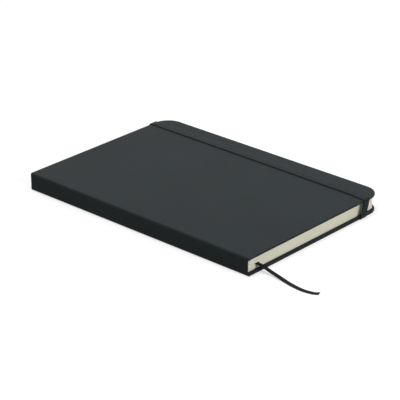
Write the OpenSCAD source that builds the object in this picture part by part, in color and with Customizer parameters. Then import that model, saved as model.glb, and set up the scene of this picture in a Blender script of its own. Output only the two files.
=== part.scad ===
// Hard-cover notebook with a flat spine, an elastic closing strap and a ribbon marker.
// Millimetres. It lies on its back cover: Z up, Y along the spine from tail to head,
// X from the spine to the fore edge, origin under the middle of the closed covers.

/* [Case] */
// Length of the covers from tail to head
cover_l = 210; // [150:1:280]
// Width of the closed notebook from spine to fore edge
cover_w = 146; // [100:1:200]
// Thickness of each cover board
board_t = 1.4; // [1.3:0.1:3]
// Thickness of the leatherette covering
covering_t = 0.35; // [0.3:0.05:0.45]
// Width of the covering that is turned in over a board
turn_in_w = 11; // [8:0.5:12]
// Radius of the covers' two corners at the fore edge
corner_r = 13.5; // [8:0.5:20]
// Rounding of the covered edges
edge_r = 0.6; // [0.55:0.05:0.75]
// Gap between a board's edge and the covering folded round it
glue_gap = 0.05; // [0.02:0.01:0.1]

/* [Spine] */
// Thickness of the card strip in the spine
card_t = 0.7; // [0.6:0.1:1.5]
// Depth of the hollow in the tail end of the spine
tail_dip = 1.3; // [0.5:0.1:2.5]
// Thickness of the lining glued over the backs of the sections
lining_t = 0.35; // [0.2:0.05:0.6]
// Distance that the lining stops short of the pages' head and tail
lining_inset = 3; // [0:0.5:10]
// Reach of the bending leatherette past the backs of the sections
bend_reach = 0.5; // [0.4:0.05:1]
// Clearance between the spine and the bending edge of each cover
bend_gap = 0.1; // [0.05:0.05:0.3]
// Distance from the bending edge to the board and the pastedown
board_setback = 0.3; // [0.1:0.1:2]

/* [Pages] */
// Thickness of the sewn sections together
pages_t = 9.2; // [5:0.1:20]
// Number of sewn sections
section_count = 9; // [5:1:16]
// Flat that the glue press leaves on each section's rounded back
back_flat = 0.05; // [0.02:0.01:0.1]
// Depth of the glue that fills the grooves between the sections' backs
back_glue = 0.2; // [0.1:0.05:0.25]
// Thickness of each leaf of the endpapers
endpaper_t = 0.2; // [0.1:0.05:0.4]
// Distance that the covers stand out past the pages
square_w = 2.9; // [2:0.1:4]

/* [Strap] */
// Width of the elastic strap
strap_w = 7; // [5:0.5:10]
// Thickness of the elastic strap
strap_t = 0.7; // [0.5:0.1:0.8]
// Distance from the fore edge to the strap at its middle
strap_inset = 13; // [8:0.5:25]
// Slant of the strap, in degrees, towards the fore edge at the head
strap_slant = 0.5; // [0:0.1:0.6]
// Distance that the strap is drawn sideways towards its slot at the tail edge
tail_draw = 1.6; // [0:0.1:5]
// Length of the curve by which it gets there
tail_curve_l = 18; // [5:1:40]
// Distance that the strap is drawn sideways towards its slot at the head edge
head_draw = 0.5; // [0:0.1:5]
// Length of the curve by which it gets there
head_curve_l = 8; // [5:1:40]
// Distance from the fore edge to the two slots that the strap goes through
slot_side = 23; // [18:0.5:30]
// Distance from the head or tail edge to the slot
slot_inset = 13; // [12:0.5:20]
// Length of each strap end glued under the rear pastedown
strap_end_l = 18; // [10:1:30]
// Clearance beside the strap
strap_gap = 0.1; // [0.08:0.01:0.2]
// Clearance between the strap and the front cover
strap_rest = 0.02; // [0.01:0.01:0.1]

/* [Ribbon] */
// Width of the ribbon marker
ribbon_w = 3.6; // [3:0.1:4]
// Thickness of the ribbon marker
ribbon_t = 0.4; // [0.2:0.05:0.4]
// Clearance round the ribbon between the pages
ribbon_gap = 0.1; // [0.1:0.05:0.3]
// Distance from the pages' head to the ribbon's glued end
ribbon_inset = 9; // [5:1:30]

/* [Hidden] */
$fn = 64;

// Overshoot of a cutting shape past the face that it cuts
over = 1;
spine_x = -cover_w / 2;
fore_x = cover_w / 2;
half_l = cover_l / 2;
cover_t = covering_t + board_t;
total_t = 2 * (cover_t + 2 * endpaper_t) + pages_t;

// The spine's layers, counted from its outer face
card_in_x = spine_x + covering_t + card_t;
back_x = card_in_x + lining_t;
bend_r = back_x - spine_x + bend_reach;
board_x = spine_x + bend_r + bend_gap + board_setback;

// The pages and the leaves beside them
page_fore_x = fore_x - square_w;
page_half_l = half_l - square_w;
page_corner_r = corner_r - square_w;
pages_z = cover_t + 2 * endpaper_t;
section_t = pages_t / section_count;

// The strap's place, and the levels of its middle line
strap_x = fore_x - strap_inset - strap_w / 2;
slot_x = fore_x - slot_side - strap_w / 2;
slot_y = half_l - slot_inset;
strap_top_z = total_t + strap_rest + strap_t / 2;
strap_low_z = strap_t / 2;
strap_leg_y = half_l + strap_gap + strap_t / 2;
strap_slot_y = slot_y - strap_t / 2;

// Route of the ribbon from its glued end at the head of the gutter, through its mouth
// between the pages at the tail, to its free tip, counted from the tail end of the
// spine's outer face
ribbon_route = [
    [4.2, cover_l - square_w - ribbon_inset, 5.2], [11.6, square_w, 5.2],
    [11.8, -0.5, 4.8], [12.0, -4.0, 4.0], [12.2, -8.0, 2.8], [12.2, -12.5, 1.8],
    [11.8, -17.0, 1.1], [11.0, -22.0, 0.6], [10.2, -27.0, 0.3], [9.5, -31.5, 0.3],
    [9.0, -36.3, 0.3], [9.1, -40.5, 0.3], [9.7, -44.0, 0.3], [10.9, -47.6, 0.3],
    [12.8, -49.6, 0.3]
];
ribbon_mouth = 1;
// Longest stretch of the ribbon between two of its sections
ribbon_step = 3 * ribbon_w;

leatherette = [0.235, 0.25, 0.255];
greyboard = [0.55, 0.52, 0.47];
cream = [0.87, 0.86, 0.76];
kraft = [0.68, 0.56, 0.4];
elastic_black = [0.07, 0.075, 0.08];
ribbon_black = [0.09, 0.09, 0.1];

// Section across an edge: flat inside, with both outer corners rounded
module rim_profile(reach, low, high, r) {
    translate([0, low]) square([reach - r, high - low]);
    translate([reach - r, low + r]) square([r, high - low - 2 * r]);
    for (z = [low + r, high - r])
        translate([reach - r, z]) circle(r);
}

// Plate from the spine side to the fore edge, its rim rounded on the three free sides
module rimmed_slab(x0, x1, half, corner, low, high, r) {
    core_inset = corner / 2;
    translate([x0, core_inset - half, low])
        cube([x1 - core_inset - x0, 2 * (half - core_inset), high - low]);
    for (side = [0, 1])
        mirror([0, side, 0]) {
            translate([x0, 0, 0]) rotate([90, 0, 90])
                linear_extrude(x1 - corner - x0) rim_profile(half, low, high, r);
            translate([x1 - corner, half - corner, 0])
                rotate_extrude(angle = 90) rim_profile(corner, low, high, r);
        }
    translate([x1 - corner, half - corner, 0]) rotate([90, 0, 0])
        linear_extrude(2 * (half - corner)) rim_profile(corner, low, high, r);
}

// Outline of a leaf: square at the spine, round corners at the fore edge
module leaf_outline(x0) {
    side_l = 2 * (page_half_l - page_corner_r);
    translate([x0, -page_half_l]) square([page_fore_x - page_corner_r - x0, 2 * page_half_l]);
    translate([page_fore_x - page_corner_r, -side_l / 2]) square([page_corner_r, side_l]);
    for (side = [-1, 1])
        translate([page_fore_x - page_corner_r, side * side_l / 2]) circle(page_corner_r);
}

module leaf(x0, z, t) {
    translate([0, 0, z]) linear_extrude(t) leaf_outline(x0);
}

// Solid that runs through rings of points, each ring with as many points
module sweep(rings) {
    last = len(rings) - 1;
    n = len(rings[0]);
    sides = [
        for (i = [0 : last - 1], k = [0 : n - 1])
            let (a = n * i + k, b = n * i + (k + 1) % n)
            each [[a, b, b + n], [a, b + n, a + n]]
    ];
    first_face = [for (k = [n - 1 : -1 : 0]) k];
    last_face = [for (k = [0 : n - 1]) n * last + k];
    polyhedron([for (ring = rings) each ring], concat(sides, [first_face, last_face]));
}

// Turns a back-cover piece over into its place on the front cover
module as_front() {
    translate([0, 0, total_t]) mirror([0, 0, 1]) children();
}

// Round space about the line on which a cover bends, at the level of the back cover
module bend_space(r) {
    translate([spine_x, 0, cover_t / 2]) rotate([90, 0, 0])
        cylinder(h = cover_l + 2 * over, r = r, center = true);
}

// Pressed channels for the strap under the tail (side -1) and head (side 1) of the back cover
module strap_channels(grow) {
    reach = strap_w / 2 + strap_gap + grow;
    line = [slot_y - strap_t - strap_gap - grow, strap_slot_y, half_l + over];
    for (side = [-1, 1])
        translate([0, 0, -over]) linear_extrude(over + strap_t + grow)
            polygon([
                for (y = line) [strap_at(side, y, strap_low_z) - reach, side * y],
                for (i = [2 : -1 : 0]) [strap_at(side, line[i], strap_low_z) + reach, side * line[i]]
            ]);
}

// Punched slots, and the recesses in the board's inner face for the glued ends
module strap_slots() {
    w = strap_w + 2 * strap_gap;
    end_y = slot_y - strap_end_l - strap_gap;
    slot_w = strap_t + 2 * strap_gap;
    for (side = [0, 1])
        mirror([0, side, 0]) {
            translate([slot_x - w / 2, slot_y + strap_gap - slot_w, strap_low_z])
                cube([w, slot_w, cover_t]);
            translate([slot_x - w / 2, end_y, cover_t - strap_t])
                cube([w, slot_y + strap_gap - end_y, strap_t + over]);
        }
}

// The board's form, thinner where the turned-in covering is pressed flush with it
module board_form(x0, gap) {
    inset = covering_t + gap;
    middle_l = 2 * (half_l - turn_in_w - gap);
    rimmed_slab(x0, fore_x - inset, half_l - inset, corner_r - inset,
        covering_t, board_t, edge_r - covering_t);
    translate([x0, -middle_l / 2, covering_t])
        cube([fore_x - turn_in_w - gap - x0, middle_l, board_t]);
}

module covering_form(strapped) {
    difference() {
        rimmed_slab(spine_x, fore_x, half_l, corner_r, 0, cover_t, edge_r);
        difference() {
            board_form(spine_x - over, 0);
            if (strapped) strap_channels(covering_t);
        }
        bend_space(bend_r + bend_gap);
        if (strapped) strap_channels(0);
        if (strapped) strap_slots();
    }
}

// The spine's outer form, drawn in by an inset, with its arrises rounded
module spine_form(inset, x1, r) {
    reach = x1 - spine_x - inset;
    intersection() {
        translate([x1, half_l, 0]) rotate([90, 0, 0]) linear_extrude(cover_l)
            mirror([1, 0]) rim_profile(reach, inset, total_t - inset, r);
        translate([x1, 0, 0]) linear_extrude(total_t)
            mirror([1, 0]) rim_profile(reach, inset - half_l, half_l - inset, r);
        for (side = [0, 1])
            mirror([0, side, 0]) translate([spine_x, 0, 0]) rotate([90, 0, 90])
                linear_extrude(x1 - spine_x) rim_profile(half_l - inset, inset, total_t - inset, r);
    }
}

// Cut along an edge: a reach, a depth from the face and the rounding of the edge that is left
module hollow_profile(reach, depth, r) {
    translate([0, -over]) square([reach, depth + over]);
    difference() {
        translate([0, -over]) square([reach + r, r + over]);
        translate([reach + r, r]) circle(r);
    }
}

// Hollow in the spine's tail end, its rim rounded like the arrises
module tail_hollow(inset, r) {
    reach = tail_dip + inset;
    depth = card_in_x - spine_x - inset;
    low_z = edge_r + tail_dip;
    translate([spine_x + inset, -half_l, 0]) {
        for (z = [low_z, total_t - low_z])
            translate([0, 0, z]) rotate([0, 90, 0]) rotate_extrude() hollow_profile(reach, depth, r);
        translate([0, 0, low_z]) mirror([1, 0, 0]) rotate([0, 0, 90])
            linear_extrude(total_t - 2 * low_z) hollow_profile(reach, depth, r);
    }
}

// The card strip's form, thinner at both ends where the covering is turned in
module card_form(gap) {
    middle_l = 2 * (half_l - turn_in_w - gap);
    low = covering_t + gap;
    rim = edge_r - covering_t;
    difference() {
        union() {
            spine_form(low, card_in_x - covering_t, rim);
            translate([spine_x + low, -middle_l / 2, low])
                cube([card_in_x - spine_x - low, middle_l, total_t - 2 * low]);
        }
        tail_hollow(low, rim);
    }
}

module page_block() {
    backs_x = back_x + section_t / 2 - back_flat;
    color(cream)
        difference() {
            intersection() {
                translate([0, page_half_l, 0]) rotate([90, 0, 0])
                    linear_extrude(2 * page_half_l) {
                        translate([backs_x - back_glue, pages_z])
                            square([page_fore_x - backs_x + back_glue, pages_t]);
                        for (i = [0 : section_count - 1])
                            translate([backs_x, pages_z + (i + 0.5) * section_t])
                                circle(section_t / 2);
                    }
                leaf(back_x, 0, total_t);
            }
            ribbon_tunnel();
        }
}

module front_flyleaf() {
    color(cream) leaf(back_x, pages_z + pages_t, endpaper_t);
}

module back_flyleaf() {
    color(cream) leaf(back_x, pages_z - endpaper_t, endpaper_t);
}

module spine_lining() {
    lining_l = 2 * (page_half_l - lining_inset);
    color(kraft)
        translate([card_in_x, -lining_l / 2, pages_z - endpaper_t])
            cube([lining_t, lining_l, pages_t + 2 * endpaper_t]);
}

module spine_card() {
    color(greyboard) card_form(glue_gap);
}

// Outer layer of the spine with its turned-in ends and the lips at which the covers bend
module spine_covering() {
    lip_x = spine_x + bend_r + over;
    color(leatherette)
        difference() {
            spine_form(0, lip_x, edge_r);
            card_form(0);
            tail_hollow(0, edge_r);
            translate([card_in_x, -half_l - over, covering_t])
                cube([lip_x - card_in_x + over, cover_l + 2 * over, total_t - 2 * covering_t]);
            for (flip = [0, 1])
                translate([0, 0, flip * total_t]) mirror([0, 0, flip])
                    difference() {
                        translate([card_in_x, -half_l - over, -over])
                            cube([lip_x - card_in_x + over, cover_l + 2 * over, cover_t + over]);
                        bend_space(bend_r);
                    }
        }
}

module front_board() {
    color(greyboard) as_front() board_form(board_x, glue_gap);
}

module front_covering() {
    color(leatherette) as_front() covering_form(false);
}

module front_pastedown() {
    color(cream) as_front() leaf(board_x, cover_t, endpaper_t);
}

module back_board() {
    color(greyboard)
        difference() {
            board_form(board_x, glue_gap);
            strap_channels(covering_t);
            strap_slots();
        }
}

module back_covering() {
    color(leatherette) covering_form(true);
}

module back_pastedown() {
    color(cream) leaf(board_x, cover_t, endpaper_t);
}

// X of the strap's middle line on the front cover, y away from its middle
function strap_front(side, y) =
    let (
        curve = side < 0 ? tail_curve_l : head_curve_l,
        along = max(0, min(y, half_l) - half_l + curve) / curve
    )
    strap_x + side * min(y, half_l) * tan(strap_slant) - (side < 0 ? tail_draw : head_draw) * along * along;

// X of that line anywhere: past the front cover it runs evenly aside, down and back to its slot
function strap_at(side, y, z) =
    let (
        under = z < total_t / 2,
        edge_x = strap_front(side, under ? half_l : y),
        run = max(0, strap_top_z - z) + (under ? strap_leg_y - y : 0),
        whole = strap_top_z - strap_low_z + strap_leg_y - strap_slot_y,
        share = under && y <= strap_slot_y ? 1 : run / whole
    )
    edge_x + share * (slot_x - edge_x);

// Places [y, z] of the strap's middle line with the way its outer side faces there, from
// the middle of the front cover to the glued end
strap_line = concat(
    [for (i = [0 : 5]) [[(half_l - tail_curve_l) * i / 5, strap_top_z], [0, 1]]],
    [for (i = [1 : 7]) [[half_l - tail_curve_l * (1 - i / 8), strap_top_z], [0, 1]]],
    strap_bend([strap_leg_y, strap_top_z], edge_r + strap_t / 2, 90),
    strap_bend([strap_leg_y, strap_low_z], strap_t / 2 + strap_gap / 2, 0),
    [
        [[strap_slot_y, strap_low_z], [-1, -1]],
        [[strap_slot_y, cover_t - strap_t / 2], [-1, -1]],
        [[slot_y - strap_end_l, cover_t - strap_t / 2], [0, -1]]
    ]
);

// Quarter bend of the line at a corner, from the side that faces the first angle
function strap_bend(corner, r, first) =
    let (centre = corner - r * [1, first > 0 ? 1 : -1])
    [
        for (a = [first : -15 : first - 90])
            [centre + r * [cos(a), sin(a)], [cos(a), sin(a)]]
    ];

// Four corners of the strap's section at one place of the line
function strap_ring(side, place) =
    let (
        p = place[0],
        out = place[1] * strap_t / 2,
        x = strap_at(side, p[0], p[1])
    )
    [
        for (c = [[-1, 1], [1, 1], [1, -1], [-1, -1]])
            [x + c[0] * strap_w / 2, side * (p[0] + c[1] * out[0]), p[1] + c[1] * out[1]]
    ];

module elastic_strap() {
    last = len(strap_line) - 1;
    rings = concat(
        [for (i = [last : -1 : 0]) strap_ring(-1, strap_line[i])],
        [for (i = [1 : last]) strap_ring(1, strap_line[i])]
    );
    color(elastic_black) sweep(rings);
}

// Straight way between two sections for the ribbon, from its glued end to the tail
module ribbon_tunnel() {
    from = ribbon_route[0];
    to = ribbon_route[ribbon_mouth];
    run = norm(to - from);
    translate([spine_x, -half_l, 0] + from)
        rotate([0, 0, atan2(to[1] - from[1], to[0] - from[0])])
            translate([-ribbon_gap, -ribbon_w / 2 - ribbon_gap, -ribbon_t / 2 - ribbon_gap])
                cube([run + ribbon_gap + over, ribbon_w + 2 * ribbon_gap, ribbon_t + 2 * ribbon_gap]);
}

function unit(v) = v / norm(v);

// The route with points added along its long straight stretch
ribbon_points = [
    for (i = [0 : len(ribbon_route) - 2])
        let (
            run = ribbon_route[i + 1] - ribbon_route[i],
            steps = ceil(norm(run) / ribbon_step)
        )
        for (k = [0 : steps - 1]) ribbon_route[i] + run * k / steps,
    ribbon_route[len(ribbon_route) - 1]
];

// Direction of the ribbon at one of its points
function ribbon_along(i) =
    unit(ribbon_points[min(i + 1, len(ribbon_points) - 1)] - ribbon_points[max(i - 1, 0)]);

// Eight corners of the ribbon's flat section at one of its points
function ribbon_ring(i) =
    let (
        along = ribbon_along(i),
        wide = unit(cross(along, [0, 0, 1])) * ribbon_w / 2,
        deep = unit(cross(wide, along)) * ribbon_t / 2,
        slim = 1 - ribbon_t / ribbon_w / 2
    )
    [
        for (c = [[1, -0.5], [1, 0.5], [slim, 1], [-slim, 1], [-1, 0.5], [-1, -0.5], [-slim, -1], [slim, -1]])
            ribbon_points[i] + c[0] * wide + c[1] * deep
    ];

module ribbon_marker() {
    color(ribbon_black)
        translate([spine_x, -half_l, 0])
            sweep([for (i = [0 : len(ribbon_points) - 1]) ribbon_ring(i)]);
}

page_block();
front_flyleaf();
back_flyleaf();
spine_lining();
spine_card();
spine_covering();
front_board();
front_covering();
front_pastedown();
back_board();
back_covering();
back_pastedown();
elastic_strap();
ribbon_marker();
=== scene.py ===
"""Looks of a hard-cover notebook with an elastic closing strap and a ribbon marker."""

import math
import random

import bmesh
import bpy
from mathutils import Matrix, Vector


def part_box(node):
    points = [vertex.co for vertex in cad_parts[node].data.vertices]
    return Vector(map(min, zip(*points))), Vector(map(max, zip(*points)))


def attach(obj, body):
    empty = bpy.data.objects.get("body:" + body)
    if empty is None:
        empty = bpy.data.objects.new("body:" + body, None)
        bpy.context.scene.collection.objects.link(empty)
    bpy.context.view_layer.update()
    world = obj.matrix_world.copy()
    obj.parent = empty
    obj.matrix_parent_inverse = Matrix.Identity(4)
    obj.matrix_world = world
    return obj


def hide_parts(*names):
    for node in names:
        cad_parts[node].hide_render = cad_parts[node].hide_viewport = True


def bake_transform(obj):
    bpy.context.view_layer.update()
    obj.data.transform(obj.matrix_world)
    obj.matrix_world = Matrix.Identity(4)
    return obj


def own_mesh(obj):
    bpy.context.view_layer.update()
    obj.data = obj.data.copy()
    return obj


bl_info = {
    "name": "Notebook with Elastic Strap",
    "version": (1, 0, 0),
    "blender": (4, 5, 0),
    "location": "View3D > Sidebar > Notebook",
    "description": "Dresses a hard-cover notebook in leatherette, paper, elastic and ribbon",
    "category": "Add Mesh",
}

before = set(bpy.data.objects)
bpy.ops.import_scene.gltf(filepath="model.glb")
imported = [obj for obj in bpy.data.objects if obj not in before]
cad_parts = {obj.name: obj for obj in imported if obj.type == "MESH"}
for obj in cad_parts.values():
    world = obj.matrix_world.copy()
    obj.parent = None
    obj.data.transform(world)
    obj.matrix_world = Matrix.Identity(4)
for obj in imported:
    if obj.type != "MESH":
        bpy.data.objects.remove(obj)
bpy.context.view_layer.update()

MM = 0.001

# Past this angle between two faces, the edge between them stays sharp
SHARP_ANGLE = math.radians(38)

# Corners of a square, as shares of half its side
SQUARE = ((-1, -1), (1, -1), (1, 1), (-1, 1))

# Length of the curve from the covers' end to the spine's hollow, as a share of its depth
HOLLOW_CURVE = 0.67

# The covers' fore edge, head edge and top, their thickness and that of their leatherette
FORE_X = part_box("front_covering")[1].x
HALF_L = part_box("front_covering")[1].y
TOP_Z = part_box("front_covering")[1].z
COVER_T = TOP_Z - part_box("front_covering")[0].z
COVERING_T = TOP_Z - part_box("front_board")[1].z

# The spine's outer face, the inner face of its card, the boards' edge at the spine, and the
# line from which a cover is stiff, a little past the spine's bending lips
SPINE_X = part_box("spine_covering")[0].x
CARD_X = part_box("spine_lining")[0].x
BOARD_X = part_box("front_board")[0].x
BEND_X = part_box("spine_covering")[1].x + 0.1 * MM

# The pages and the leaves beside them
PAGES_LOW, PAGES_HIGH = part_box("page_block")
LEAF_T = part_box("front_flyleaf")[1].z - PAGES_HIGH.z

# The strap's outer face over the front cover
STRAP_TOP_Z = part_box("elastic_strap")[1].z

# The ribbon's route from its glued end to its tip, in mm from the tail end of the spine's face
RIBBON_ROUTE = [
    (4.2, 198.1, 5.2), (11.6, 2.9, 5.2),
    (11.8, -0.5, 4.8), (12.0, -4.0, 4.0), (12.2, -8.0, 2.8), (12.2, -12.5, 1.8),
    (11.8, -17.0, 1.1), (11.0, -22.0, 0.6), (10.2, -27.0, 0.3), (9.5, -31.5, 0.3),
    (9.0, -36.3, 0.3), (9.1, -40.5, 0.3), (9.7, -44.0, 0.3), (10.9, -47.6, 0.3),
    (12.8, -49.6, 0.3),
]

# The ribbon's thickness from edge to edge, as shares of its full thickness
RIBBON_PROFILE = (0.5, 1.25, 1.0, 1.0, 1.0, 1.0, 1.0, 1.25, 0.5)


class StageSettings(bpy.types.PropertyGroup):
    """Camera, floor and lamps."""

    azimuth: bpy.props.FloatProperty(
        name="Azimuth", description="Where the camera stands, round the notebook",
        default=math.radians(-47.865), subtype="ANGLE",
    )
    elevation: bpy.props.FloatProperty(
        name="Elevation", description="Height of the camera above the table, as an angle",
        default=math.radians(24.547), subtype="ANGLE",
    )
    distance: bpy.props.FloatProperty(
        name="Distance", description="From the camera to the point that it looks at",
        default=1.29821, subtype="DISTANCE",
    )
    lens: bpy.props.FloatProperty(
        name="Focal Length", description="Focal length in millimetres on a 36 mm sensor",
        default=161.80,
    )
    aim: bpy.props.FloatVectorProperty(
        name="Aim", description="Sideways and upward place of the view's middle",
        default=(-0.003251, -0.007095), size=2, subtype="NONE",
    )
    lamp_level: bpy.props.FloatProperty(
        name="Lamp Level", description="Strength of all the lamps together",
        default=1.0,
    )
    fill_level: bpy.props.FloatProperty(
        name="Fill Level", description="Strength of the even light from all round",
        default=0.12,
    )
    floor_grey: bpy.props.FloatProperty(
        name="Floor Grey", description="How much of the light the floor throws back",
        default=0.5,
    )
    floor_glow: bpy.props.FloatProperty(
        name="Floor Glow", description="Brightness added to the floor where it is looked at",
        default=0.555,
    )


class LeatheretteSettings(bpy.types.PropertyGroup):
    """Covering of the boards and the spine."""

    edge_radius: bpy.props.FloatProperty(
        name="Edge Radius", description="Rounding of the covered edges",
        default=0.6 * MM, subtype="DISTANCE",
    )
    arris_radius: bpy.props.FloatProperty(
        name="Arris Radius", description="Rounding of the spine's two long edges",
        default=1.3 * MM, subtype="DISTANCE",
    )
    corner_radius: bpy.props.FloatProperty(
        name="Corner Radius", description="Radius of the two corners at the fore edge",
        default=13.5 * MM, subtype="DISTANCE",
    )
    turn_in: bpy.props.FloatProperty(
        name="Turn-in", description="Width of the covering folded over each board's edge",
        default=11.0 * MM, subtype="DISTANCE",
    )
    tail_dip: bpy.props.FloatProperty(
        name="Tail Dip", description="Depth of the hollow in the tail end of the spine",
        default=1.3 * MM, subtype="DISTANCE",
    )
    pleat_depth: bpy.props.FloatProperty(
        name="Pleat Depth", description="Depth of the pleats where a corner is turned in",
        default=0.14 * MM, subtype="DISTANCE",
    )
    colour: bpy.props.FloatVectorProperty(
        name="Colour", description="Base colour of the leatherette",
        default=(0.0280, 0.0335, 0.0355), subtype="COLOR",
    )
    grain: bpy.props.FloatProperty(
        name="Grain", description="Distance between the pebbles of the grain",
        default=0.45 * MM, subtype="DISTANCE",
    )


class PaperSettings(bpy.types.PropertyGroup):
    """Pages and endpapers."""

    sections: bpy.props.IntProperty(
        name="Sections", description="Number of sewn sections", default=9,
    )
    leaves: bpy.props.IntProperty(
        name="Leaves", description="Number of leaves in a section", default=10,
    )
    corner_radius: bpy.props.FloatProperty(
        name="Page Corner", description="Radius to which the pages' fore-edge corners are cut",
        default=7.5 * MM, subtype="DISTANCE",
    )
    groove: bpy.props.FloatProperty(
        name="Groove", description="Depth of the groove between two leaves' cut edges",
        default=0.035 * MM, subtype="DISTANCE",
    )
    unevenness: bpy.props.FloatProperty(
        name="Unevenness", description="How far a section's edges wander in or out",
        default=0.05 * MM, subtype="DISTANCE",
    )
    page_colour: bpy.props.FloatVectorProperty(
        name="Page Colour", description="Base colour of the cut pages",
        default=(0.805, 0.792, 0.668), subtype="COLOR",
    )
    endpaper_colour: bpy.props.FloatVectorProperty(
        name="Endpaper Colour", description="Base colour of the endpapers",
        default=(0.75, 0.74, 0.635), subtype="COLOR",
    )


class StrapSettings(bpy.types.PropertyGroup):
    """Elastic closing strap."""

    width: bpy.props.FloatProperty(
        name="Width", description="Width of the strap",
        default=7.0 * MM, subtype="DISTANCE",
    )
    thickness: bpy.props.FloatProperty(
        name="Thickness", description="Thickness of the strap",
        default=0.7 * MM, subtype="DISTANCE",
    )
    inset: bpy.props.FloatProperty(
        name="Inset", description="Distance from the fore edge to the strap at its middle",
        default=13.0 * MM, subtype="DISTANCE",
    )
    slant: bpy.props.FloatProperty(
        name="Slant", description="Slant of the strap towards the fore edge at the head",
        default=math.radians(0.5), subtype="ANGLE",
    )
    tail_draw: bpy.props.FloatProperty(
        name="Tail Draw", description="How far the strap is drawn aside at the tail edge",
        default=1.6 * MM, subtype="DISTANCE",
    )
    tail_curve: bpy.props.FloatProperty(
        name="Tail Curve", description="Length of the curve by which it gets there",
        default=18.0 * MM, subtype="DISTANCE",
    )
    head_draw: bpy.props.FloatProperty(
        name="Head Draw", description="How far the strap is drawn aside at the head edge",
        default=0.5 * MM, subtype="DISTANCE",
    )
    head_curve: bpy.props.FloatProperty(
        name="Head Curve", description="Length of the curve by which it gets there",
        default=8.0 * MM, subtype="DISTANCE",
    )
    slot_side: bpy.props.FloatProperty(
        name="Slot Side", description="Distance from the fore edge to the slots",
        default=23.0 * MM, subtype="DISTANCE",
    )
    slot_inset: bpy.props.FloatProperty(
        name="Slot Inset", description="Distance from the head or tail edge to a slot",
        default=13.0 * MM, subtype="DISTANCE",
    )
    end_length: bpy.props.FloatProperty(
        name="Glued Length", description="Length of each end glued under the pastedown",
        default=18.0 * MM, subtype="DISTANCE",
    )
    gap: bpy.props.FloatProperty(
        name="Clearance", description="Clearance beside the strap",
        default=0.1 * MM, subtype="DISTANCE",
    )
    ribs: bpy.props.IntProperty(
        name="Ribs", description="Number of ribs across the strap", default=14,
    )
    rib_height: bpy.props.FloatProperty(
        name="Rib Height", description="Height of a rib above the furrows beside it",
        default=0.04 * MM, subtype="DISTANCE",
    )
    colour: bpy.props.FloatVectorProperty(
        name="Colour", description="Base colour of the elastic",
        default=(0.0085, 0.0118, 0.0135), subtype="COLOR",
    )


class RibbonSettings(bpy.types.PropertyGroup):
    """Ribbon marker."""

    width: bpy.props.FloatProperty(
        name="Width", description="Width of the ribbon",
        default=3.6 * MM, subtype="DISTANCE",
    )
    thickness: bpy.props.FloatProperty(
        name="Thickness", description="Thickness of the ribbon",
        default=0.24 * MM, subtype="DISTANCE",
    )
    length: bpy.props.FloatProperty(
        name="Length", description="Whole length, from the glued end to the tip",
        default=250 * MM, subtype="DISTANCE",
    )
    tip_slant: bpy.props.FloatProperty(
        name="Tip Slant", description="How much longer one edge is than the other",
        default=1.6 * MM, subtype="DISTANCE",
    )
    colour: bpy.props.FloatVectorProperty(
        name="Colour", description="Base colour of the ribbon",
        default=(0.0070, 0.0073, 0.0078), subtype="COLOR",
    )


class Wire:
    """An output socket: arithmetic on it adds Math nodes, and node() adds any other node."""

    def __init__(self, tree, socket=None):
        self.tree = tree
        self.socket = socket

    def node(self, kind, sockets, output=0, **settings):
        """Adds a node: its settings first, then the values or links of its sockets."""
        made = self.tree.nodes.new("ShaderNode" + kind)
        for name, value in settings.items():
            setattr(made, name, value)
        for key, value in sockets.items():
            if isinstance(value, Wire):
                self.tree.links.new(value.socket, made.inputs[key])
            else:
                made.inputs[key].default_value = value
        return Wire(self.tree, made.outputs[output] if made.outputs else None)

    def math(self, operation, first, second=0.0):
        """Result of arithmetic on two values or wires."""
        return self.node("Math", {0: first, 1: second}, operation=operation)

    def __add__(self, other):
        return self.math("ADD", self, other)

    __radd__ = __add__

    def __sub__(self, other):
        return self.math("SUBTRACT", self, other)

    def __mul__(self, other):
        return self.math("MULTIPLY", self, other)

    def place(self):
        """Vector of the place on the object, in metres."""
        return self.node("TexCoord", {}, output="Object")

    def weave(self):
        """Vector of the place on the cloth, in metres across and along it."""
        return self.node("UVMap", {}, uv_map="Weave")

    def stretched(self, x, y, z):
        """This vector, scaled along each axis."""
        return self.node("VectorMath", {0: self, 1: (x, y, z)}, operation="MULTIPLY")

    def noise(self, scale=1.0, detail=2.0):
        """Noise over this vector, scale being the number of its features in a metre."""
        return self.node("TexNoise", {"Vector": self, "Scale": scale, "Detail": detail})

    def bands(self, scale):
        """Even bands across this vector's second axis."""
        return self.node(
            "TexWave", {"Vector": self.stretched(0, 1, 0), "Scale": scale, "Distortion": 0.0},
            output="Fac", bands_direction="Y",
        )

    def tint(self, low, high):
        """Colour between two others, with this value as the mask."""
        return self.node(
            "Mix", {0: self, 6: (*low, 1), 7: (*high, 1)}, output=2, data_type="RGBA"
        )

    def shade(self, colour, darkest, lightest):
        """The colour times a factor between these two, with this value as the mask."""
        low, high = ([channel * factor for channel in colour] for factor in (darkest, lightest))
        return self.tint(low, high)

    def bump(self, distance, strength=1.0):
        """Normal raised by this height, distance being what a height of 1 is worth."""
        return self.node(
            "Bump", {"Height": self, "Distance": distance, "Strength": strength}
        )


def new_material(name, paint):
    """Material whose surface is the shader that paint() returns."""
    material = bpy.data.materials.new(name)
    material.use_nodes = True
    material.node_tree.nodes.clear()
    wire = Wire(material.node_tree)
    wire.node("OutputMaterial", {"Surface": paint(wire)})
    return material


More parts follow.
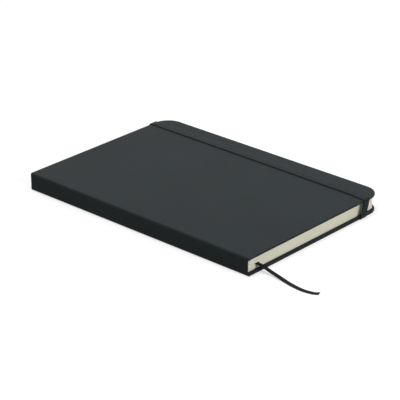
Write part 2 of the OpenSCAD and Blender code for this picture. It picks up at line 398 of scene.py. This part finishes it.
def leatherette_material(settings):
    """Matt soft-touch leatherette with a fine pebbled grain."""

    def paint(wire):
        place = wire.place()
        pebbles = wire.node(
            "TexVoronoi", {"Vector": place, "Scale": 1 / settings.grain}, feature="SMOOTH_F1",
        )
        creases = place.noise(0.7 / settings.grain, 4.0)
        clouds = place.noise(22.0, 3.0)
        height = creases * 0.8 - pebbles * 0.9
        return wire.node("BsdfPrincipled", {
            "Base Color": (clouds * 0.7 + creases * 0.3).shade(settings.colour, 0.8, 1.2),
            "Roughness": 0.3 + creases * 0.12 + clouds * 0.05,
            "Specular IOR Level": 0.018,
            "Normal": height.bump(0.035 * MM, 0.6),
        })

    return new_material("leatherette", paint)


def page_edge_material(settings):
    """Cut edges of cream writing paper, each leaf a shade of its own."""

    def paint(wire):
        place = wire.place()
        leaf_t = (PAGES_HIGH.z - PAGES_LOW.z) / (settings.sections * settings.leaves)
        lines = place.stretched(12, 12, 0.9 / leaf_t).noise()
        patches = place.noise(45.0)
        fibres = place.noise(5200.0, 1.0)
        shades = lines * 0.75 + patches * 0.25
        return wire.node("BsdfPrincipled", {
            "Base Color": shades.shade(settings.page_colour, 0.88, 1.1),
            "Roughness": 0.82 + lines * 0.1,
            "Specular IOR Level": 0.25,
            "Normal": (fibres + lines).bump(0.02 * MM, 0.5),
        })

    return new_material("page_edges", paint)


def endpaper_material(settings):
    """Plain cream endpaper with a faint tooth."""

    def paint(wire):
        place = wire.place()
        tooth = place.noise(2600.0, 3.0)
        clouds = place.noise(60.0, 4.0)
        shades = tooth * 0.4 + clouds * 0.6
        return wire.node("BsdfPrincipled", {
            "Base Color": shades.shade(settings.endpaper_colour, 0.95, 1.05),
            "Roughness": 0.8 + tooth * 0.12,
            "Specular IOR Level": 0.3,
            "Normal": tooth.bump(0.012 * MM, 0.5),
        })

    return new_material("endpaper", paint)


def greyboard_material():
    """Grey bookbinding board, pressed from recycled fibres."""

    def paint(wire):
        place = wire.place()
        flecks = place.noise(1400.0, 5.0)
        layers = place.stretched(60, 60, 5200).noise()
        shades = flecks * 0.7 + layers * 0.3
        return wire.node("BsdfPrincipled", {
            "Base Color": shades.tint((0.19, 0.17, 0.14), (0.36, 0.33, 0.28)),
            "Roughness": 0.88 + flecks * 0.08,
            "Specular IOR Level": 0.2,
            "Normal": (flecks + layers).bump(0.04 * MM, 0.6),
        })

    return new_material("greyboard", paint)


def crepe_material():
    """Brown crepe paper glued over the sections' backs."""

    def paint(wire):
        crinkles = wire.place().stretched(900, 160, 900).noise(detail=4.0)
        return wire.node("BsdfPrincipled", {
            "Base Color": crinkles.tint((0.34, 0.22, 0.1), (0.5, 0.35, 0.18)),
            "Roughness": 0.8 + crinkles * 0.1,
            "Normal": crinkles.bump(0.08 * MM, 0.8),
        })

    return new_material("crepe_lining", paint)


def elastic_material(settings):
    """Woven elastic with fine threads across its lengthwise ribs."""

    def paint(wire):
        weave = wire.weave()
        threads = weave.bands(420.0)
        crossing = weave.stretched(4200, 1500, 0).noise()
        fuzz = wire.place().noise(3800.0)
        return wire.node("BsdfPrincipled", {
            "Base Color": (threads * 0.4 + crossing * 0.6).shade(settings.colour, 0.7, 1.3),
            "Roughness": 0.28 + fuzz * 0.1,
            "Specular IOR Level": 0.055,
            "Normal": (threads * 0.7 + crossing * 0.5 + fuzz * 0.3).bump(0.02 * MM, 0.4),
        })

    return new_material("woven_elastic", paint)


def ribbon_material(settings):
    """Black satin ribbon with fine ribs across it and threads along it."""

    def paint(wire):
        weave = wire.weave()
        ribs = weave.bands(900.0)
        threads = weave.stretched(6000, 250, 0).noise()
        return wire.node("BsdfPrincipled", {
            "Base Color": (threads * 0.6 + ribs * 0.4).shade(settings.colour, 0.7, 1.4),
            "Roughness": 0.4 + threads * 0.18,
            "Specular IOR Level": 0.05,
            "Normal": (ribs * 0.6 + threads * 0.6).bump(0.03 * MM, 0.6),
        })

    return new_material("satin_ribbon", paint)


def seen_directly(wire):
    """1 on rays by which the background is seen, straight or in a reflection, and else 0."""
    kinds = ("Is Camera Ray", "Is Glossy Ray", "Is Transmission Ray")
    camera, glossy, clear = (wire.node("LightPath", {}, output=kind) for kind in kinds)
    return wire.math("MINIMUM", camera + glossy + clear, 1.0)


def floor_material(settings):
    """White floor, made of a grey coat and a glow that lights nothing."""

    def paint(wire):
        grey = settings.floor_grey
        coat = wire.node("BsdfDiffuse", {"Color": (grey, grey, grey, 1)})
        glow = wire.node("Emission", {
            "Color": (1, 1, 1, 1), "Strength": seen_directly(wire) * settings.floor_glow,
        })
        return wire.node("AddShader", {0: coat, 1: glow})

    return new_material("white_floor", paint)


def new_object(name, data):
    """Object in the scene with this mesh, camera or lamp."""
    made = bpy.data.objects.new(name, data)
    bpy.context.scene.collection.objects.link(made)
    return made


def add_piece(name, mesh, material):
    """Object from a mesh, smooth apart from its sharp edges."""
    mesh.shade_smooth()
    mesh.set_sharp_from_angle(angle=SHARP_ANGLE)
    mesh.materials.append(material)
    return new_object(name, mesh)


def closed_mesh(name, points, faces):
    """Mesh with its faces turned outwards."""
    mesh = bpy.data.meshes.new(name)
    mesh.from_pydata([tuple(p) for p in points], [], faces)
    work = bmesh.new()
    work.from_mesh(mesh)
    bmesh.ops.recalc_face_normals(work, faces=work.faces)
    work.to_mesh(mesh)
    work.free()
    return mesh


def ring_faces(rings, size, closed):
    """Four-sided faces between rings of points, each ring a loop if closed."""
    steps = size if closed else size - 1
    faces = []
    for i in range(rings - 1):
        for k in range(steps):
            low, high = i * size + k, i * size + (k + 1) % size
            faces.append((low, high, high + size, low + size))
    return faces


def sweep_mesh(name, rings, weave=None):
    """Solid through closed rings of points; weave holds each point's place on the cloth."""
    size = len(rings[0])
    last = (len(rings) - 1) * size
    faces = ring_faces(len(rings), size, True)
    faces += [tuple(range(size)), tuple(range(last + size - 1, last - 1, -1))]
    mesh = closed_mesh(name, [p for ring in rings for p in ring], faces)
    if weave:
        layer = mesh.uv_layers.new(name="Weave")
        for loop in mesh.loops:
            layer.data[loop.index].uv = weave[loop.vertex_index]
    return mesh


def arc(middle, radius, first, last, steps):
    """Points of an arc in a plane, as pairs, from the first angle to the last."""
    angles = [first + (last - first) * i / steps for i in range(steps + 1)]
    return [(middle[0] + radius * math.cos(a), middle[1] + radius * math.sin(a)) for a in angles]


def dress(node, material):
    """Gives a CAD node its material."""
    node_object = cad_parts[node]
    if not node_object.material_slots:
        node_object.data.materials.append(material)
    for slot in node_object.material_slots:
        slot.material = material


def rim_section(depth, outer_r, inner_r, turn_in, inner_reach, pleat):
    """The folded covering across an edge, as (distance from the edge, depth) pairs.

    It runs from the outer face round the edge to the end of the turn-in, and back along
    the side that is glued to the board.
    """
    quarter, t = math.pi / 2, COVERING_T
    steps, glued_steps, least_r = 7, 3, 0.1 * MM
    # Points this far past a rounding keep the flat beside it flat
    support = 0.5 * MM
    folded = depth - pleat
    outside = [(inner_reach, 0), (outer_r + support, 0)]
    outside += arc((outer_r, outer_r), outer_r, 3 * quarter, 2 * quarter, steps)
    outside += arc((inner_r, folded - inner_r), inner_r, 2 * quarter, quarter, steps)
    outside += [(inner_r + support, folded), (turn_in, folded)]
    glued = folded - t
    inside = [(turn_in, glued), (inner_r + support, glued)]
    r = max(inner_r - t, least_r)
    inside += arc((t + r, glued - r), r, quarter, 2 * quarter, glued_steps)
    r = max(outer_r - t, least_r)
    inside += arc((t + r, t + r), r, 2 * quarter, 3 * quarter, glued_steps)
    inside += [(outer_r + support, t), (inner_reach, t)]
    return outside + inside


def hollow_depth(from_arris, settings):
    """How far the spine's tail end lies inside the covers' ends, this far from an arris."""
    share = min(max(from_arris / (settings.tail_dip * HOLLOW_CURVE), 0.0), 1.0)
    return settings.tail_dip * share * share * (3 - 2 * share)


def bending_stations(settings):
    """Stations from the middle of the spine over its arris to the flat of the front cover.

    Each is (outer point, inner point, depth of the hollow at the tail, radius of the inner
    edge), the points in the plane of X and Z.
    """
    r, small_r = settings.arris_radius, 0.25 * MM
    face_steps, curve_steps, arris_steps, lip_steps = 4, 14, 8, 12
    middle_z, arris_z, inner_z = TOP_Z / 2, TOP_Z - r, TOP_Z - COVER_T - small_r
    curve = settings.tail_dip * HOLLOW_CURVE
    face = arris_z - curve - middle_z
    heights = [middle_z + face * i / face_steps for i in range(face_steps)]
    heights += [arris_z - curve * (1 - i / curve_steps) for i in range(curve_steps)]
    stations = []
    for z in heights:
        inner = middle_z + (inner_z - middle_z) * (z - middle_z) / (arris_z - middle_z)
        hollow = hollow_depth(arris_z - z, settings)
        stations.append(((SPINE_X, z), (CARD_X, inner), hollow, small_r))
    outer_arc = arc((SPINE_X + r, arris_z), r, math.pi, math.pi / 2, arris_steps)
    inner_arc = arc((CARD_X + small_r, inner_z), small_r, math.pi, math.pi / 2, arris_steps)
    for outer, inner in zip(outer_arc, inner_arc):
        stations.append((outer, inner, 0.0, small_r))
    for i in range(1, lip_steps + 1):
        share = i / lip_steps
        outer_x = SPINE_X + r + (BEND_X - SPINE_X - r) * share
        inner_x = CARD_X + small_r + (BEND_X - CARD_X - small_r) * share
        inner_r = small_r + (settings.edge_radius - small_r) * share
        stations.append(((outer_x, TOP_Z), (inner_x, TOP_Z - COVER_T), 0.0, inner_r))
    return stations


def covering_mesh(name, settings):
    """Half of the leatherette sheet, from the middle of the spine round the front board."""
    corner_r, turn_in = settings.corner_radius, settings.turn_in
    inner_reach = turn_in + 1.5 * MM
    corner_x, corner_y = FORE_X - corner_r, HALF_L - corner_r
    corner_steps, pleat_every = 32, 4
    down = Vector((0, 0, -1))
    rings = []

    def add_ring(origin, inward, across, depth, inner_r, pleat=0.0):
        section = rim_section(depth, settings.edge_radius, inner_r, turn_in, inner_reach, pleat)
        rings.append([origin + inward * d + across * deep for d, deep in section])

    def add_straight(side, station):
        outer, inner, hollow, inner_r = station
        end_y = HALF_L - (hollow if side < 0 else 0)
        across = Vector((inner[0] - outer[0], 0, inner[1] - outer[1]))
        origin = Vector((outer[0], side * end_y, outer[1]))
        add_ring(origin, Vector((0, -side, 0)), across.normalized(), across.length, inner_r)

    stations = bending_stations(settings)
    # The flat of the cover, with rings near its ends so that its shading stays flat
    for x in (BEND_X + 1 * MM, BEND_X + 8 * MM, corner_x - 8 * MM, corner_x - 0.5 * MM):
        stations.append(((x, TOP_Z), (x, TOP_Z - COVER_T), 0.0, settings.edge_radius))
    for station in stations:
        add_straight(-1, station)
    for side in (-1, 1):
        turns = range(corner_steps + 1) if side < 0 else range(corner_steps, -1, -1)
        for i in turns:
            angle = math.pi / 2 * (1 - i / corner_steps)
            out = Vector((math.cos(angle), side * math.sin(angle), 0))
            middle = Vector((corner_x, side * corner_y, TOP_Z))
            pleated = i % pleat_every == pleat_every // 2
            add_ring(middle + out * corner_r, -out, down, COVER_T, settings.edge_radius,
                     settings.pleat_depth if pleated else 0.0)
    for station in reversed(stations):
        add_straight(1, station)

    # Strips from the rings at the tail to those at the head fill the sheet's outer and glued
    # sides, and one more face closes it at the middle of the spine
    size, count, straight = len(rings[0]), len(rings), len(stations)
    points = [p for ring in rings for p in ring]
    faces = ring_faces(count, size, False)
    for edge in (0, size - 1):
        line = [i * size + edge for i in range(count)]
        for k in range(straight):
            faces.append((line[k], line[k + 1], line[count - 2 - k], line[count - 1 - k]))
        faces.append(tuple(line[straight:count - straight]))
    first, last = range(size - 1, -1, -1), range((count - 1) * size, count * size)
    faces.append(tuple(first) + tuple(last))
    return closed_mesh(name, points, faces)


def strap_front_x(settings, side, y):
    """X of the strap's middle line on the front cover; side is -1 at the tail, 1 at the head."""
    middle_x = FORE_X - settings.inset - settings.width / 2
    draw = settings.tail_draw if side < 0 else settings.head_draw
    curve = settings.tail_curve if side < 0 else settings.head_curve
    y = min(y, HALF_L)
    along = max(0.0, y - HALF_L + curve) / curve
    return middle_x + side * y * math.tan(settings.slant) - draw * along ** 2


def strap_leg_y(settings):
    """Y of the strap's middle line where it runs down past the head edge."""
    return HALF_L + settings.gap + settings.thickness / 2


def slot_middle(settings):
    """X and Y of the middle of the slot at the head."""
    slot_x = FORE_X - settings.slot_side - settings.width / 2
    return slot_x, HALF_L - settings.slot_inset - settings.thickness / 2


def strap_line_x(settings, side, y, z):
    """X of that line anywhere: past the front cover it runs evenly down and back to its slot."""
    top_z, low_z = STRAP_TOP_Z - settings.thickness / 2, settings.thickness / 2
    leg_y = strap_leg_y(settings)
    slot_x, slot_y = slot_middle(settings)
    under = z < TOP_Z / 2
    edge_x = strap_front_x(settings, side, HALF_L if under else y)
    run = max(0.0, top_z - z) + (leg_y - y if under else 0.0)
    past_slot = under and y <= slot_y + 0.001 * MM
    share = 1.0 if past_slot else run / (top_z - low_z + leg_y - slot_y)
    return edge_x + share * (slot_x - edge_x)


def prism(name, outline, low, high):
    """Upright solid over an outline in plan."""
    return sweep_mesh(name, [[(x, y, z) for x, y in outline] for z in (low, high)])


def carve(target, operation, cutter_mesh):
    """Joins another solid to the target, or cuts it away."""
    cutter = new_object("cutter", cutter_mesh)
    modifier = target.modifiers.new("carve", "BOOLEAN")
    modifier.operation = operation
    modifier.solver = "EXACT"
    modifier.object = cutter
    graph = bpy.context.evaluated_depsgraph_get()
    carved = bpy.data.meshes.new_from_object(target.evaluated_get(graph))
    target.modifiers.clear()
    target.data = carved
    bpy.data.objects.remove(cutter)


def channel_outline(settings, side, grow, end_y):
    """Plan of the pressed channel from inside its slot to end_y, grown on its sides."""
    reach = settings.width / 2 + settings.gap + grow
    slot_y = slot_middle(settings)[1]
    places = [slot_y - settings.thickness / 2 - settings.gap - grow, slot_y, end_y]
    low_z = settings.thickness / 2
    line = [(strap_line_x(settings, side, y, low_z), side * y) for y in places]
    return [(x - reach, y) for x, y in line] + [(x + reach, y) for x, y in reversed(line)]


def press_channels(covering, settings):
    """Presses the strap's channels into the back cover's sheet and punches its slots."""
    deep, over, sunk = settings.thickness, 1 * MM, 0.3 * MM
    slot_x, slot_y = slot_middle(settings)
    half_w = settings.width / 2 + settings.gap
    half_t = settings.thickness / 2 + settings.gap
    for side in (-1, 1):
        tray = channel_outline(settings, side, COVERING_T, HALF_L - COVERING_T / 2)
        carve(covering, "UNION", prism("tray", tray, sunk, deep + COVERING_T))
        groove = channel_outline(settings, side, 0.0, HALF_L + over)
        carve(covering, "DIFFERENCE", prism("groove", groove, -over, deep))
        slot = [(slot_x + a * half_w, side * slot_y + b * half_t) for a, b in SQUARE]
        carve(covering, "DIFFERENCE", prism("slot", slot, deep / 2, COVER_T + over))


def leaf_outline(low, high, corner_r, steps):
    """Plan of a leaf in a box, from its spine side at the tail round to that at the head."""
    corner_x, corner_y = high.x - corner_r, high.y - corner_r
    corner_steps = 16
    corner = arc((corner_x, corner_y), corner_r, math.pi / 2, 0, corner_steps)
    side = [(low.x + (corner_x - low.x) * i / steps, high.y) for i in range(steps)]
    tail = [(x, -y) for x, y in side + corner]
    fore = [(high.x, corner_y * (2 * i / steps - 1)) for i in range(1, steps)]
    return tail + fore + [(x, -y) for x, y in reversed(tail)]


def leaf_ring(outline, z, settings, waves, own, groove, round_in):
    """One level of the pages' cut edges and back.

    The cut edges lie inside the outline by the waves of their section, each a (height, start,
    radians in a metre), their leaf's own share and the groove's, and the back by round_in.
    """
    corner_x = PAGES_HIGH.x - settings.corner_radius
    corner_y = PAGES_HIGH.y - settings.corner_radius
    back_x = PAGES_LOW.x + 0.5 * MM
    ring = []
    for x, y in outline:
        wander = sum(height * math.sin(start + rate * (x + y)) for height, start, rate in waves)
        uneven = settings.unevenness * (1 + wander / len(waves) + own) / 2
        step_in = uneven + settings.groove * groove
        out_x, out_y = max(0.0, x - corner_x), max(0.0, abs(y) - corner_y)
        share = step_in / (math.hypot(out_x, out_y) or 1.0)
        at_back = round_in if x <= back_x else 0.0
        ring.append((x - share * out_x + at_back, y - math.copysign(share * out_y, y), z))
    return ring


def page_stack_mesh(name, settings):
    """Pages with a groove between every two leaves and a rounded back on every section."""
    draw = random.Random(7)
    outline_steps, wave_count, most_round = 36, 3, 0.4 * MM
    section_t = (PAGES_HIGH.z - PAGES_LOW.z) / settings.sections
    leaf_t, half_t = section_t / settings.leaves, section_t / 2
    outline = leaf_outline(PAGES_LOW, PAGES_HIGH, settings.corner_radius, outline_steps)
    # Levels of a leaf, as shares of its thickness, with the share of the groove's depth there
    levels = ((0.0, 1.0), (0.35, 0.0), (0.75, 0.0))
    rings = []
    for section in range(settings.sections):
        waves = [
            (draw.uniform(-1, 1), draw.uniform(0, 6.3), draw.uniform(20, 60))
            for _ in range(wave_count)
        ]
        low_z = PAGES_LOW.z + section * section_t
        for leaf in range(settings.leaves):
            own = draw.uniform(-0.3, 0.3)
            for part, groove in levels:
                z = low_z + (leaf + part) * leaf_t
                away = z - low_z - half_t
                round_in = min(half_t - math.sqrt(max(half_t ** 2 - away ** 2, 0)), most_round)
                rings.append(leaf_ring(outline, z, settings, waves, own, groove, round_in))
    rings.append([(x, y, PAGES_HIGH.z) for x, y, _ in rings[-len(levels)]])
    return sweep_mesh(name, rings)


def smooth_route(points, step):
    """Points every step along a smooth curve through the given ones."""
    fine = []
    for i in range(len(points) - 1):
        before = points[max(i - 1, 0)]
        start, end = points[i], points[i + 1]
        after = points[min(i + 2, len(points) - 1)]
        reach = (end - start).length
        lean_in = (end - before).normalized() * reach
        lean_out = (after - start).normalized() * reach
        count = max(2, math.ceil(reach / step))
        for k in range(count):
            t = k / count
            fine.append(
                start * (2 * t ** 3 - 3 * t ** 2 + 1) + lean_in * (t ** 3 - 2 * t ** 2 + t)
                + end * (3 * t ** 2 - 2 * t ** 3) + lean_out * (t ** 3 - t ** 2)
            )
    return fine + [points[-1]]


class NOTEBOOK_OT_stage(bpy.types.Operator):
    """Adds the camera, a white floor and soft lamps"""

    bl_idname = "notebook.stage"
    bl_label = "Stage"

    def execute(self, context):
        settings = context.scene.notebook_stage
        azimuth, elevation = settings.azimuth, settings.elevation
        back = Vector((
            math.sin(azimuth) * math.cos(elevation),
            -math.cos(azimuth) * math.cos(elevation),
            math.sin(elevation),
        ))
        right = Vector((math.cos(azimuth), math.sin(azimuth), 0))
        up = back.cross(right)
        camera_data = bpy.data.cameras.new("camera")
        camera_data.lens = settings.lens
        camera_data.sensor_width = 36
        camera = new_object("camera", camera_data)
        middle = Vector((0, 0, 7 * MM))
        target = middle + right * settings.aim[0] + up * settings.aim[1]
        turn = Matrix((right, up, back)).transposed().to_4x4()
        camera.matrix_world = Matrix.Translation(target + back * settings.distance) @ turn
        context.scene.camera = camera

        floor_mesh = bpy.data.meshes.new("floor")
        reach, floor_z = 6.0, -0.02 * MM
        corners = [(a * reach, b * reach, floor_z) for a, b in SQUARE]
        floor_mesh.from_pydata(corners, [], [(0, 1, 2, 3)])
        floor = add_piece("floor", floor_mesh, floor_material(settings))

        # Each lamp's name, place and size in metres, and power in watts
        lamps = (
            ("overhead", (-0.22, 0.1, 1.6), (0.9, 0.9), 16.0),
            ("tail_side", (-0.1, -1.5, 0.7), (0.9, 0.7), 12.8),
            ("fore_side", (1.4, -0.2, 0.7), (0.9, 0.7), 6.0),
            ("head_side", (0.1, 1.5, 0.8), (0.9, 0.7), 4.5),
        )
        for name, place, size, power in lamps:
            self.add_lamp(name, place, size, power * settings.lamp_level)

        world = bpy.data.worlds.new("studio")
        context.scene.world = world
        world.use_nodes = True
        world.node_tree.nodes.clear()
        wire = Wire(world.node_tree)
        fill = wire.node("Background", {"Color": (1, 1, 1, 1), "Strength": settings.fill_level})
        white = wire.node("Background", {"Color": (1, 1, 1, 1), "Strength": 1.0})
        sky = wire.node("MixShader", {0: seen_directly(wire), 1: fill, 2: white})
        wire.node("OutputWorld", {"Surface": sky})
        context.scene.view_settings.view_transform = "Standard"
        return {"FINISHED"}

    def add_lamp(self, name, place, size, power):
        """Soft lamp turned towards the notebook."""
        lamp = bpy.data.lights.new(name, "AREA")
        lamp.shape = "RECTANGLE"
        lamp.size, lamp.size_y = size
        lamp.energy = power
        made = new_object(name, lamp)
        made.location = place
        made.rotation_euler = (-Vector(place)).to_track_quat("-Z", "Y").to_euler()


class NOTEBOOK_OT_ribbon(bpy.types.Operator):
    """Adds the satin ribbon marker along its route"""

    bl_idname = "notebook.ribbon"
    bl_label = "Ribbon Marker"

    def execute(self, context):
        settings = context.scene.notebook_ribbon
        corner = Vector((SPINE_X, -HALF_L, 0))
        route = smooth_route([corner + Vector(p) * MM for p in RIBBON_ROUTE], 1.2 * MM)
        rings, weave, run = [], [], 0.0
        across_steps, tip_steps = len(RIBBON_PROFILE) - 1, 3
        for i, point in enumerate(route):
            ahead = route[min(i + 1, len(route) - 1)] - route[max(i - 1, 0)]
            ahead.normalize()
            wide = ahead.cross(Vector((0, 0, 1))).normalized()
            deep = wide.cross(ahead)
            if i:
                run += (point - route[i - 1]).length
            cut = max(0.0, 1 - (len(route) - 1 - i) / tip_steps)
            ring = []
            for face in (1, -1):
                for k, height in enumerate(RIBBON_PROFILE):
                    share = (2 * k / across_steps - 1) * face
                    ring.append(
                        point + wide * (share * settings.width / 2)
                        - ahead * (share * settings.tip_slant / 2 * cut)
                        + deep * (face * settings.thickness / 2 * height)
                    )
                    weave.append((share * settings.width / 2, run))
            rings.append(ring)
        mesh = sweep_mesh("ribbon", rings, weave)
        ribbon = add_piece("ribbon", mesh, ribbon_material(settings))
        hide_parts("ribbon_marker")
        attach(ribbon, "pages")
        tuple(route[0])
        return {"FINISHED"}


class NOTEBOOK_OT_covering(bpy.types.Operator):
    """Wraps the boards and the spine in leatherette"""

    bl_idname = "notebook.covering"
    bl_label = "Leatherette Covering"

    def execute(self, context):
        settings = context.scene.notebook_leatherette
        material = leatherette_material(settings)
        front = add_piece("covering_front", covering_mesh("covering_front", settings), material)
        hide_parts("front_covering", "spine_covering")
        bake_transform(front)
        back_mesh = covering_mesh("covering_back", settings)
        back_mesh.transform(Matrix.Translation((0, 0, TOP_Z)) @ Matrix.Scale(-1, 4, (0, 0, 1)))
        back_mesh.flip_normals()
        back = add_piece("covering_back", back_mesh, material)
        press_channels(back, context.scene.notebook_strap)
        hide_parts("back_covering", "spine_covering")
        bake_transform(back)
        return {"FINISHED"}


class NOTEBOOK_OT_pages(bpy.types.Operator):
    """Adds the stack of pages, the endpapers and their folds at the hinges"""

    bl_idname = "notebook.pages"
    bl_label = "Pages and Endpapers"

    def execute(self, context):
        settings = context.scene.notebook_paper
        stack = add_piece(
            "page_stack", page_stack_mesh("page_stack", settings), page_edge_material(settings),
        )
        carve(stack, "DIFFERENCE", self.ribbon_way(context.scene.notebook_ribbon))
        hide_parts("page_block")
        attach(stack, "pages")
        paper = endpaper_material(settings)
        for node in ("front_pastedown", "back_pastedown"):
            dress(node, paper)
        for node in ("front_flyleaf", "back_flyleaf"):
            self.add_leaf(node, settings, paper)
        low_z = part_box("front_pastedown")[0].z
        self.add_fold("endpaper_fold_front", "front_cover", low_z, paper)
        self.add_fold("endpaper_fold_back", "back_cover", TOP_Z - low_z - LEAF_T, paper)
        return {"FINISHED"}

    def add_leaf(self, node, settings, material):
        """Free leaf of an endpaper, its corners cut with the pages'."""
        low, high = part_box(node)
        name, outline_steps = node + "_cut", 12
        outline = leaf_outline(low, high, settings.corner_radius, outline_steps)
        leaf = add_piece(name, prism(name, outline, low.z, high.z), material)
        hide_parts(node)
        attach(leaf, "pages")

    def ribbon_way(self, ribbon):
        """Solid of the way that the ribbon takes between two leaves, wider at the tail."""
        corner = Vector((SPINE_X, -HALF_L, 0))
        start, mouth = (corner + Vector(p) * MM for p in RIBBON_ROUTE[:2])
        ahead = (mouth - start).normalized()
        wide = ahead.cross(Vector((0, 0, 1)))
        gap, half_w = 0.1 * MM, ribbon.width / 2
        # A flat six-sided section, in half widths and half heights
        hexagon = ((-1.2, 0), (-0.8, 1), (0.8, 1), (1.2, 0), (0.8, -1), (-0.8, -1))
        # Points on the way, with its width as a share of the ribbon's and its half height in mm
        places = (
            (start - ahead * gap, 1.0, 0.3), (mouth - ahead * 6 * MM, 1.0, 0.3),
            (mouth + ahead * 0.5 * MM, 1.25, 0.42), (mouth + ahead * 2 * MM, 1.3, 0.45),
        )
        rings = [
            [point + wide * (a * (half_w * grow + gap)) + Vector((0, 0, b * high * MM))
             for a, b in hexagon]
            for point, grow, high in places
        ]
        return sweep_mesh("ribbon_way", rings)

    def add_fold(self, name, cover, low_z, material):
        """Strip of endpaper that bridges the hinge between the flyleaf and the pastedown."""
        start_x, half, steps = PAGES_LOW.x, PAGES_HIGH.y, 28
        rings = []
        for i in range(steps + 1):
            x = start_x + (BOARD_X - start_x) * i / steps
            rings.append([(x, -half, low_z), (x, half, low_z),
                          (x, half, low_z + LEAF_T), (x, -half, low_z + LEAF_T)])
        fold = add_piece(name, sweep_mesh(name, rings), material)
        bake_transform(fold)


class NOTEBOOK_OT_strap(bpy.types.Operator):
    """Adds the ribbed elastic strap from slot to slot"""

    bl_idname = "notebook.strap"
    bl_label = "Elastic Strap"

    def execute(self, context):
        settings = context.scene.notebook_strap
        line = self.half_line(settings)
        rings, weave, run = [], [], 0.0
        places = [(-1, *p) for p in reversed(line)] + [(1, *p) for p in line[1:]]
        for i, (side, y, z, out_y, out_z) in enumerate(places):
            if i:
                last = places[i - 1]
                run += math.hypot(side * y - last[0] * last[1], z - last[2])
            x = strap_line_x(settings, side, y, z)
            ring = []
            for across, height in self.section(settings):
                ring.append((x + across, side * (y + out_y * height), z + out_z * height))
                weave.append((across, run))
            rings.append(ring)
        strap = add_piece("strap", sweep_mesh("strap", rings, weave), elastic_material(settings))
        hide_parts("elastic_strap")
        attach(strap, "back_cover")
        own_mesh(strap)
        return {"FINISHED"}

    def half_line(self, settings):
        """Middle line from the middle of the front cover to a glued end.

        Each place is (y, z, way in which the outer side faces in y and z).
        """
        t, gap = settings.thickness, settings.gap
        top_z, low_z = TOP_Z + t / 2, t / 2
        leg_y, slot_y = strap_leg_y(settings), slot_middle(settings)[1]
        glued_z = COVER_T - t / 2
        curve, flat_steps, curve_steps, turn_steps = settings.tail_curve, 4, 16, 10
        line = [((HALF_L - curve) * i / flat_steps, top_z, 0, 1) for i in range(flat_steps + 1)]
        for i in range(1, curve_steps - 1):
            line.append((HALF_L - curve * (1 - i / curve_steps), top_z, 0, 1))
        over_r = bpy.context.scene.notebook_leatherette.edge_radius + t / 2
        under_r = t / 2 + 2 * gap
        for middle, r, first in (((leg_y - over_r, top_z - over_r), over_r, 90),
                                 ((leg_y - under_r, low_z + under_r), under_r, 0)):
            for i in range(turn_steps + 1):
                angle = math.radians(first - 90 * i / turn_steps)
                way = (math.cos(angle), math.sin(angle))
                line.append((middle[0] + r * way[0], middle[1] + r * way[1], *way))
        line += [
            (slot_y, low_z, -1, -1), (slot_y, glued_z, -1, -1),
            (HALF_L - settings.slot_inset - settings.end_length, glued_z, 0, -1),
        ]
        return line

    def section(self, settings):
        """Section across the strap, ribbed on both sides, as (across, height) pairs."""
        half_w, half_t = settings.width / 2, settings.thickness / 2
        per_rib, squareness, least = 4, 14, 0.05
        count = settings.ribs * per_rib
        section = []
        for face in (1, -1):
            for k in range(count + 1):
                share = 2 * k / count - 1
                rib = abs(math.sin(math.pi * k / per_rib))
                rounded = math.sqrt(max(0.0, 1 - abs(share) ** squareness))
                height = (half_t - settings.rib_height * (1 - rib)) * rounded
                section.append((face * share * half_w, face * max(height, least * half_t)))
        return section


class NOTEBOOK_OT_inner_pieces(bpy.types.Operator):
    """Gives the boards, the spine's card and the lining their finishes"""

    bl_idname = "notebook.inner_pieces"
    bl_label = "Boards and Lining"

    def execute(self, context):
        board = greyboard_material()
        for node in ("front_board", "back_board", "spine_card"):
            dress(node, board)
        dress("spine_lining", crepe_material())
        return {"FINISHED"}


class NOTEBOOK_PT_panel(bpy.types.Panel):
    """Lists the notebook's pieces and their settings"""

    bl_idname = "NOTEBOOK_PT_panel"
    bl_label = "Notebook"
    bl_space_type = "VIEW_3D"
    bl_region_type = "UI"
    bl_category = "Notebook"

    def draw(self, context):
        layout = self.layout
        for operator in OPERATORS:
            layout.operator(operator.bl_idname)
        for name, group in SETTINGS.items():
            box = layout.box()
            for field in group.__annotations__:
                box.prop(getattr(context.scene, name), field)


SETTINGS = {
    "notebook_stage": StageSettings,
    "notebook_ribbon": RibbonSettings,
    "notebook_leatherette": LeatheretteSettings,
    "notebook_paper": PaperSettings,
    "notebook_strap": StrapSettings,
}
OPERATORS = (
    NOTEBOOK_OT_stage, NOTEBOOK_OT_ribbon, NOTEBOOK_OT_covering, NOTEBOOK_OT_pages,
    NOTEBOOK_OT_strap, NOTEBOOK_OT_inner_pieces,
)


def register():
    """Adds the settings, the operators and the panel to Blender."""
    for group in SETTINGS.values():
        bpy.utils.register_class(group)
    for name, group in SETTINGS.items():
        setattr(bpy.types.Scene, name, bpy.props.PointerProperty(type=group))
    for operator in OPERATORS:
        bpy.utils.register_class(operator)
    bpy.utils.register_class(NOTEBOOK_PT_panel)


def unregister():
    """Takes them out again."""
    bpy.utils.unregister_class(NOTEBOOK_PT_panel)
    for operator in reversed(OPERATORS):
        bpy.utils.unregister_class(operator)
    for name, group in SETTINGS.items():
        delattr(bpy.types.Scene, name)
        bpy.utils.unregister_class(group)


def main():
    """Makes the whole notebook."""
    register()
    bpy.ops.notebook.stage()
    bpy.ops.notebook.ribbon()
    bpy.ops.notebook.covering()
    bpy.ops.notebook.pages()
    bpy.ops.notebook.strap()
    bpy.ops.notebook.inner_pieces()
    bpy.context.view_layer.update()


if __name__ == "__main__":
    main()
